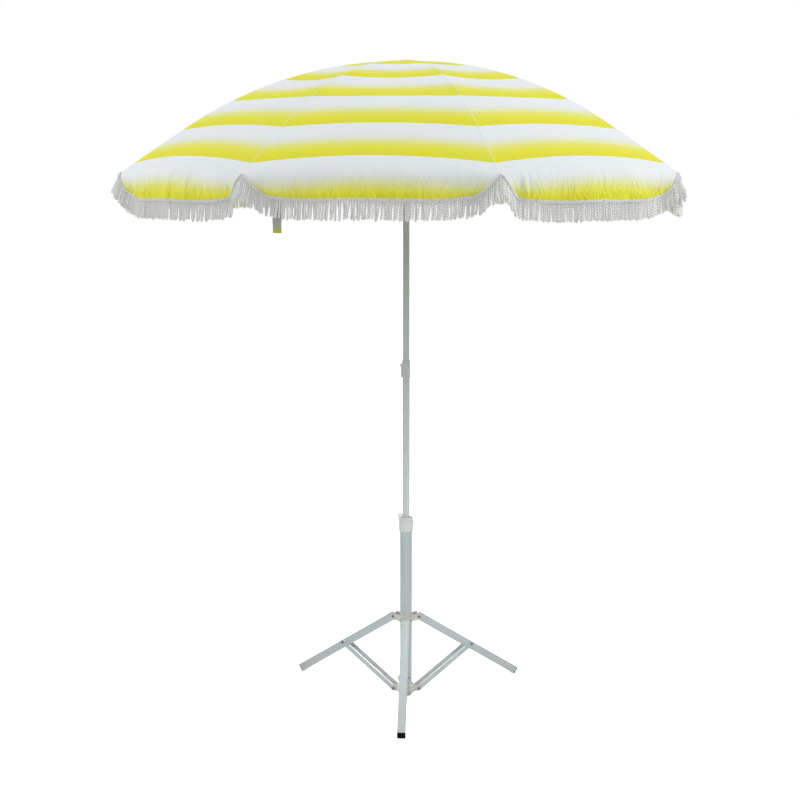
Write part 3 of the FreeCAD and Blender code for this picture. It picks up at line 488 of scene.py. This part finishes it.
# the print: where its first sharp edge lies, down from the crown, and the height of one stripe
FIRST_EDGE, STRIPE = 0.2113, 0.17175
# how much the print is pressed together on the skirt and drawn out over the crown
SKIRT_SQUEEZE, CROWN_STRETCH = 0.55, 0.75
THREAD_PITCH = 0.0011


def creases(wire):
    """Thin slanting creases that start at the hem and die out above it, in a few clusters."""
    place = wire.node("ShaderNodeAttribute", {"attribute_name": "gore_place"}, {}, "Vector")
    side, down, gore = [wire.node("ShaderNodeSeparateXYZ", {}, {"Vector": place}, way)
                        for way in "XYZ"]
    height = between(wire, down, SEAM_LENGTH - 0.015, SEAM_LENGTH + SKIRT * 0.7)
    total = height * 0.0
    for lean, fine, cluster in ((0.55, 44, 7.0), (-0.65, 48, 9.0), (0.15, 55, 12.0)):
        slanted = wire.node("ShaderNodeCombineXYZ", {}, {
            "X": (side + (down - SEAM_LENGTH) * lean) * fine, "Y": down * 9, "Z": gore})
        off = wire.node("ShaderNodeMath", {"operation": "ABSOLUTE"},
                        {0: noise(wire, slanted, 1.0, 1.0) - 0.5})
        ridge = 1 - between(wire, off, 0.0, 0.08)
        total = total + ridge * between(wire, noise(wire, place, cluster), 0.46, 0.56)
    return total * height


def printed_canvas():
    """White canvas with stripes that deepen to yellow and then stop at a sharp edge."""
    made, wire, shader = new_finish("ombre_canvas", sheen_weight=0.06, specular_ior_level=0.3)
    cloth = wire.node("ShaderNodeUVMap", {"uv_map": "UVMap"}, {})
    across = wire.node("ShaderNodeSeparateXYZ", {}, {"Vector": cloth}, "X")
    down = wire.node("ShaderNodeSeparateXYZ", {}, {"Vector": cloth}, "Y")
    streaks = wire.node("ShaderNodeMapping", {}, {"Vector": cloth, "Scale": (330, 9, 1)})
    streak = noise(wire, streaks, 1.0, 3.0)
    cloud = noise(wire, cloth, 14.0, 3.0)
    skirt = wire.node("ShaderNodeMath", {"operation": "MAXIMUM"}, {0: down - SEAM_LENGTH, 1: 0.0})
    crown = wire.node("ShaderNodeMath", {"operation": "MAXIMUM"}, {0: FIRST_EDGE - down, 1: 0.0})
    print_place = down - (FIRST_EDGE - STRIPE) + skirt * SKIRT_SQUEEZE + crown * CROWN_STRETCH
    uneven = (streak - 0.5) * 0.035 + (cloud - 0.5) * 0.03
    calmer = between(wire, crown, 0.0, 0.0005) * CROWN_STRETCH
    phase = print_place / STRIPE + uneven * (1 - calmer)
    stripe = wire.node("ShaderNodeMath", {"operation": "FRACT"}, {0: phase})
    white = (0.79, 0.82, 0.83, 1)
    print_ramp = wire.node("ShaderNodeValToRGB", {"stops": [
        (0.0, (0.80, 0.83, 0.95, 1)), (0.045, (0.79, 0.82, 0.88, 1)), (0.08, white),
        (0.34, white), (0.42, (0.78, 0.80, 0.68, 1)), (0.51, (0.77, 0.79, 0.45, 1)),
        (0.60, (0.78, 0.77, 0.18, 1)), (0.69, (0.78, 0.76, 0.07, 1)),
        (0.79, (0.77, 0.74, 0.025, 1)), (0.985, (0.74, 0.71, 0.008, 1)),
        (1.0, (0.80, 0.83, 0.95, 1))]}, {"Fac": stripe}, "Color")
    threads = [wire.maths("SINE", value * (2 * math.pi / THREAD_PITCH), 0.0)
               for value in (across, down)]
    weave = threads[0] * threads[1]
    darkened = blend_colours(wire, between(wire, cloud, 0.5, 0.8) * 0.05, print_ramp, grey(0.55))
    # painted highlight: a thin white line along the seam over each rib, for the light the welt catches
    aside = wire.node("ShaderNodeMath", {"operation": "ABSOLUTE"}, {0: across})
    folded = (1 - between(wire, aside, 0.0008, 0.0022)) * 0.5
    seamed = blend_colours(wire, folded, darkened, white)
    feed(shader, base_color=blend_colours(wire, (weave + 1) * 0.02, seamed, grey(0.4)),
         roughness=0.82 + cloud * 0.12,
         normal=relief(wire, weave * 0.3 + streak * 0.6 + noise(wire, cloth, 45.0, 3.0) * 3.0
                       + creases(wire) * 9.0, 0.5, 0.0008))
    return made


canvas = printed_canvas()
rib_angles = []
hems = []
canopy = []


def on_rib(thing, rib, *nodes, slot):
    """Let a piece turn with its rib."""
    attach(thing, f"rib_{rib + 1}")
    f"rib_fold_{rib + 1}"
    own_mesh(thing)
    if nodes:
        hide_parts(*nodes)


def flat_cut(across, down):
    """Width, length and area of a sector laid flat, from its places on the cloth."""
    spots = np.stack([across, down], axis=-1)
    first, second = spots[1:, 1:] - spots[:-1, :-1], spots[1:, :-1] - spots[:-1, 1:]
    area = np.abs(first[..., 0] * second[..., 1] - first[..., 1] * second[..., 0]).sum() / 2
    return (float(np.ptp(across)), float(np.ptp(down))), float(area)


for rib in range(RIB_COUNT):
    axis = JOINTS[f"rib_fold_{rib + 1}"]["axis"]
    angle = math.atan2(-axis[0], axis[1])
    rib_angles.append(angle)
    points, across, down, gore_place = cloth_rows(rib)
    rows, columns = down.shape
    places = turned(points.reshape(-1, 3), angle)
    sheet = new_object(f"canopy_cloth_{rib + 1}", places, grid_faces(rows, columns), canvas)
    set_uv(sheet.data, np.stack([across.ravel(), down.ravel()], axis=-1))
    sheet.data.attributes.new("gore_place", "FLOAT_VECTOR", "POINT")
    sheet.data.attributes["gore_place"].data.foreach_set("vector", gore_place.ravel())
    wall = sheet.modifiers.new("wall", "SOLIDIFY")
    wall.thickness = CLOTH_WALL
    wall.offset = 1.0 if sheet.data.polygons[0].normal.z < 0 else -1.0
    as_plain_mesh(sheet).data.set_sharp_from_angle(angle=SHARP_FOLD)
    on_rib(sheet, rib, f"canopy_{rib + 1}", slot="canopy_cloth")
    cells = places.reshape(rows, columns, 3)
    hems.append(cells[:, -2:])
    canopy.append((sheet, *flat_cut(across, down)))
last_cloth = places


# ---------------------------------------------------------------- braid along the hem
# A flat cotton braid, about 8 mm tall, is sewn on the outside of the hem. It is two rows of soft
# lobes that lean opposite ways.
def new_group(name, inputs):
    """A geometry node group with these named inputs, and a wire for each of them."""
    tree = bpy.data.node_groups.new(name, "GeometryNodeTree")
    tree.interface.new_socket("Geometry", in_out="INPUT", socket_type="NodeSocketGeometry")
    for label, kind in inputs.items():
        tree.interface.new_socket(label, in_out="INPUT", socket_type="NodeSocket" + kind)
    tree.interface.new_socket("Geometry", in_out="OUTPUT", socket_type="NodeSocketGeometry")
    source = tree.nodes.new("NodeGroupInput")
    return tree, {label: Wire(tree, source.outputs[label]) for label in ["Geometry", *inputs]}


def row_of_shapes():
    """Shapes set along a line at an even pitch, each turned and sized a little differently."""
    tree, given = new_group("row_of_shapes", {
        "Pitch": "Float", "Lean": "Float", "Sway": "Float", "Clumps": "Float",
        "Uneven": "Float", "Seed": "Int", "Shapes": "Collection", "Finish": "Material"})
    wire = Wire(tree)
    line = wire.node("GeometryNodeMeshToCurve", {}, {"Mesh": given["Geometry"]})
    points = wire.node("GeometryNodeResampleCurve", {"mode": "LENGTH"},
                       {"Curve": line, "Length": given["Pitch"]})
    hang, facing = [wire.node("GeometryNodeInputNamedAttribute", {"data_type": "FLOAT_VECTOR"},
                              {"Name": name}) for name in ("hang", "facing")]
    upright = wire.node("FunctionNodeAlignRotationToVector", {"axis": "Z"}, {"Vector": hang})
    turned_out = wire.node("FunctionNodeAlignRotationToVector", {"axis": "X", "pivot_axis": "Z"},
                           {"Rotation": upright, "Vector": facing})
    dice = wire.node("FunctionNodeRandomValue", {"data_type": "FLOAT_VECTOR"},
                     {0: (-1, -1, -1), 1: (1, 1, 1), "Seed": given["Seed"]})
    swing = [wire.node("ShaderNodeSeparateXYZ", {}, {"Vector": dice}, way) for way in "XYZ"]
    place = wire.node("GeometryNodeInputPosition", {}, {})
    index = wire.node("GeometryNodeInputIndex", {}, {})
    odd = wire.maths("MODULO", index, 2.0)
    clump = (noise(wire, place, 26.0) - 0.5) * given["Clumps"]
    euler = wire.node("ShaderNodeCombineXYZ", {}, {
        "X": (odd * 2 - 1) * given["Lean"] + clump + swing[0] * given["Sway"],
        "Y": swing[1] * given["Sway"], "Z": swing[2] * given["Sway"] * 6})
    turn = wire.node("FunctionNodeEulerToRotation", {}, {"Euler": euler})
    rotation = wire.node("FunctionNodeRotateRotation", {"rotation_space": "LOCAL"},
                         {"Rotation": turned_out, "Rotate By": turn})
    scale = wire.node("ShaderNodeCombineXYZ", {}, {
        "X": 1 + swing[1] * given["Uneven"], "Y": 1 + swing[1] * given["Uneven"],
        "Z": 1 + swing[2] * given["Uneven"]})
    shapes = wire.node("GeometryNodeCollectionInfo", {},
                       {"Collection": given["Shapes"], "Separate Children": True,
                        "Reset Children": True})
    pick = wire.node("FunctionNodeRandomValue", {"data_type": "INT"},
                     {4: 0, 5: 99, "Seed": given["Seed"] + 1}, 2)
    row = wire.node("GeometryNodeInstanceOnPoints", {},
                    {"Points": points, "Instance": shapes, "Pick Instance": True,
                     "Instance Index": pick, "Rotation": rotation, "Scale": scale})
    shaded = wire.node("GeometryNodeStoreNamedAttribute", {"domain": "INSTANCE"},
                       {"Geometry": row, "Name": "shade", "Value": swing[0] * 0.5 + 0.5})
    solid = wire.node("GeometryNodeRealizeInstances", {}, {"Geometry": shaded})
    made = wire.node("GeometryNodeSetMaterial", {}, {"Geometry": solid,
                                                     "Material": given["Finish"]})
    tree.links.new(made.socket, tree.nodes.new("NodeGroupOutput").inputs[0])
    return tree


def row_along(name, line, hang, facing, group, values):
    """A mesh of shapes along a line of points, from the group with these input values."""
    base = new_object(name, line, [], values["Finish"],
                      edges=[(n, n + 1) for n in range(len(line) - 1)])
    for label, vectors in (("hang", hang), ("facing", facing)):
        base.data.attributes.new(label, "FLOAT_VECTOR", "POINT")
        base.data.attributes[label].data.foreach_set("vector", np.ravel(vectors))
    maker = base.modifiers.new("row", "NODES")
    maker.node_group = group
    for item in group.interface.items_tree:
        if item.in_out == "INPUT" and item.name in values:
            maker[item.identifier] = values[item.name]
    return as_plain_mesh(base)


def new_shape(collection, name, points, faces, uv):
    mesh = bpy.data.meshes.new(name)
    mesh.from_pydata([tuple(p) for p in points], [], faces)
    mesh.polygons.foreach_set("use_smooth", [True] * len(mesh.polygons))
    set_uv(mesh, uv)
    collection.objects.link(bpy.data.objects.new(name, mesh))


def swept(middles, radii, sides):
    """Points, faces and UV of a closed round body about a line of middles that runs up Z."""
    turn = np.linspace(0, 2 * math.pi, sides, endpoint=False)
    ring = np.stack([np.cos(turn), np.sin(turn), 0 * turn], axis=-1)
    points = [middle + ring * radius for middle, radius in zip(middles, radii)]
    points = np.vstack([middles[:1], *points, middles[-1:]])
    count = len(middles)
    last = 1 + count * sides
    faces = [(0, 1 + (n + 1) % sides, 1 + n) for n in range(sides)]
    for level in range(count - 1):
        low = 1 + level * sides
        faces += [(low + n, low + (n + 1) % sides, low + sides + (n + 1) % sides, low + sides + n)
                  for n in range(sides)]
    top = 1 + (count - 1) * sides
    faces += [(top + n, top + (n + 1) % sides, last) for n in range(sides)]
    along = np.concatenate([middles[:1, 2], np.repeat(middles[:, 2], sides), middles[-1:, 2]])
    round_it = np.concatenate([[0], np.tile(turn / (2 * math.pi), count), [0]])
    return points, faces, np.stack([round_it, along], axis=-1)


LOBE_PITCH, LOBE_LONG, LOBE_THICK = 0.0048, 0.0066, 0.0021
# how far each row of lobes lies up from the hem, and both out from the cloth
BRAID_ROWS, BRAID_OUT = (0.0012, 0.0047), 0.0018
lobes = bpy.data.collections.new("braid_lobes")
for variant in range(2):
    share = np.linspace(0.06, 0.94, 5)
    middles = np.stack([0 * share, (variant - 0.5) * 0.0006 * np.sin(share * math.pi),
                        (share - 0.5) * LOBE_LONG], axis=-1)
    new_shape(lobes, f"lobe_{variant}",
              *swept(middles, LOBE_THICK * np.sqrt(np.sin(share * math.pi)), 7))


def spun_cotton(name, tint, groove, depth, uneven):
    """Soft white cotton: twisted yarn with a groove of this pitch in metres, darkened by this depth as painted
    shade in the groove.
    """
    made, wire, shader = new_finish(name, sheen_weight=0.25)
    cloth = wire.node("ShaderNodeUVMap", {"uv_map": "UVMap"}, {})
    around = wire.node("ShaderNodeSeparateXYZ", {}, {"Vector": cloth}, "X")
    along = wire.node("ShaderNodeSeparateXYZ", {}, {"Vector": cloth}, "Y")
    shade = wire.node("ShaderNodeAttribute", {"attribute_name": "shade"}, {}, "Fac")
    twist = wire.maths("SINE", (around * 2 + along / groove + shade * 5) * (2 * math.pi), 0.0)
    fuzz = noise(wire, in_place(wire), 1500.0, 3.0)
    # painted shade: the twist's grooves are darkened, for the shade that falls in them
    groove_shade = between(wire, twist * -1, 0.1, 1.0)
    pale = (*tint, 1)
    dark = darker(tint, 0.46)
    yarn = blend_colours(wire, groove_shade * depth + fuzz * 0.2, pale, dark)
    feed(shader, base_color=blend_colours(wire, shade * uneven, yarn, dark),
         roughness=0.85 + fuzz * 0.1,
         normal=relief(wire, twist * 0.8 + fuzz * 0.5, 0.8, 0.0006))
    return made


cotton = spun_cotton("fringe_cotton", (0.96, 0.96, 0.93), 0.0080, 0.60, 0.28)
braid_cotton = spun_cotton("braid_cotton", (0.98, 0.98, 0.99), 0.0060, 0.30, 0.16)
row_group = row_of_shapes()


def unit(vectors):
    return vectors / np.linalg.norm(vectors, axis=-1, keepdims=True)


def hem_frame(rib):
    """The hem of one sector, the direction down the skirt, and outwards from its face."""
    hem = hems[rib][:, 1]
    down = unit(hem - hems[rib][:, 0])
    along = unit(np.gradient(hem, axis=0))
    facing = unit(np.cross(along, down))
    outward = np.sum(facing * hem * (1, 1, 0), axis=-1, keepdims=True)
    return hem, down, facing * np.sign(outward)


braids = []
for rib in range(RIB_COUNT):
    hem, down, facing = hem_frame(rib)
    braids.append([])
    for row, up in enumerate(BRAID_ROWS):
        line = hem - down * up + facing * BRAID_OUT
        braid = row_along(f"braid_row_{rib}_{row}", line, down, facing, row_group, {
            "Pitch": LOBE_PITCH, "Lean": 0.5, "Sway": 0.08, "Clumps": 0.1, "Uneven": 0.08,
            "Seed": 10 * rib + row, "Shapes": lobes, "Finish": braid_cotton})
        on_rib(braid, rib, slot="canopy_cloth")
        braids[rib].append(braid)


# ---------------------------------------------------------------- fringe
# Strands of soft twisted cotton hang from the braid all round. They lean outwards a little, cling
# together in clumps, and bunch where the hem rises to a rib tip.
FRINGE_LONG, STRAND_THICK, STRAND_PITCH = 0.0505, 0.0034, 0.0069
# how far up from the hem and in from the cloth the strands are sewn on
SEWN_UP, SEWN_IN = 0.001, 0.0022
# how much they lean outwards, and how much more at a rib tip, over this share of the half panel
LEAN_OUT, TIP_LEAN, TIP_SPAN = 0.03, 0.38, 0.2
strands = bpy.data.collections.new("fringe_strands")
dice = np.random.default_rng(41)
for variant in range(5):
    share = np.concatenate([[0.0], np.linspace(0.05, 0.93, 12), [0.965, 0.99]])
    bend = dice.uniform(-0.0045, 0.0045, 2)
    wave = dice.uniform(0, 6, 2)
    middles = np.stack([
        bend[0] * share ** 2 + 0.0012 * np.sin(share * 5 + wave[0]) * share,
        bend[1] * share ** 2 + 0.0012 * np.sin(share * 6 + wave[1]) * share,
        share * FRINGE_LONG * dice.uniform(0.95, 1.03)], axis=-1)
    swell = 0.82 + 0.18 * share + 0.05 * np.sin(share * 14 + wave[0])
    closing = np.sqrt(np.clip((1 - share) / 0.06, 0, 1))
    new_shape(strands, f"strand_{variant}",
              *swept(middles, STRAND_THICK * swell * np.maximum(closing, 0.3), 7))

for rib, (sheet, flat, area) in enumerate(canopy):
    hem, down, facing = hem_frame(rib)
    share = np.abs(np.linspace(-1, 1, len(hem)))[:, None] ** SEAM_CROWDING
    outward = unit(hem * (1, 1, 0))
    lean = LEAN_OUT + TIP_LEAN * (1 - ease(share / TIP_SPAN))
    hang = unit(outward * lean + np.array([0.0, 0.0, -1.0]))
    line = hem - down * SEWN_UP - facing * SEWN_IN
    fringe = row_along(f"fringe_{rib + 1}", line, hang, facing, row_group, {
        "Pitch": STRAND_PITCH, "Lean": 0.0, "Sway": 0.05, "Clumps": 0.24, "Uneven": 0.05,
        "Seed": 100 + rib, "Shapes": strands, "Finish": cotton})
    on_rib(fringe, rib, slot="canopy_cloth")


# ---------------------------------------------------------------- closing strap
# A short woven tape, 24 mm wide and 120 mm long, sewn inside the skirt beside one rib. It is
# grey-green, its last 14 mm are dyed yellow-green, and it curls a little as it hangs.
STRAP_WIDE, STRAP_LONG, STRAP_WALL = 0.024, 0.120, 0.0009
STRAP_COLUMNS, STRAP_ROWS = 9, 41
DYE_START, RIB_PITCH, TWILL_PITCH = 0.106, 0.0012, 0.0016
strap_low, strap_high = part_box("closure_strap")
strap_turn = rib_angles[-1] + HALF_PANEL
strap_out = np.array([math.cos(strap_turn), math.sin(strap_turn), 0])
strap_side = np.array([-math.sin(strap_turn), math.cos(strap_turn), 0])
strap_middle = np.array((strap_low + strap_high) / 2)
near = last_cloth[np.abs(last_cloth @ strap_side - strap_middle @ strap_side) < STRAP_WIDE]
near = near[np.abs(near[:, 2] - strap_high.z) < STRAP_WIDE / 4]
strap_reach = float((near @ strap_out).min()) - 3 * STRAP_WALL
strap_top = (strap_side * (strap_middle @ strap_side) + strap_out * strap_reach
             + np.array([0, 0, strap_high.z]))
down = np.linspace(0, 1, STRAP_ROWS)[None, :, None]
wide = np.linspace(-0.5, 0.5, STRAP_COLUMNS)[:, None, None]
curl = -0.004 * down ** 2 + 0.0012 * np.sin(down * 9) * down + 0.0016 * wide * down
places = (strap_top + strap_side * wide * STRAP_WIDE * (1 - 0.03 * down)
          + strap_out * curl - np.array([0, 0, STRAP_LONG]) * down)

tape, wire, shader = new_finish("strap_tape", roughness=0.8, sheen_weight=0.1)
cloth = wire.node("ShaderNodeUVMap", {"uv_map": "UVMap"}, {})
across = wire.node("ShaderNodeSeparateXYZ", {}, {"Vector": cloth}, "X")
along = wire.node("ShaderNodeSeparateXYZ", {}, {"Vector": cloth}, "Y")
dyed = between(wire, along, DYE_START, DYE_START + 0.003)
ribbed = wire.maths("SINE", along * (2 * math.pi / RIB_PITCH), 0.0)
twill = wire.maths("SINE", across * (2 * math.pi / TWILL_PITCH), 0.0)
tint = blend_colours(wire, dyed, (0.36, 0.40, 0.33, 1), (0.44, 0.48, 0.05, 1))
feed(shader, base_color=blend_colours(wire, ribbed * 0.06 + 0.06, tint, grey(0.15)),
     normal=relief(wire, ribbed + twill * 0.5, 0.5, 0.0004))
strap = new_object("closing_strap", places.reshape(-1, 3),
                   grid_faces(STRAP_COLUMNS, STRAP_ROWS), tape)
set_uv(strap.data, np.stack([np.repeat(wide.ravel() * STRAP_WIDE, STRAP_ROWS),
                             np.tile(down.ravel() * STRAP_LONG, STRAP_COLUMNS)], axis=-1))
wall = strap.modifiers.new("wall", "SOLIDIFY")
wall.thickness = STRAP_WALL
wall.offset = 0.0
# the strap is sewn to the last sector and goes with it
on_rib(strap, RIB_COUNT - 1, "closure_strap", slot="strap_cloth")
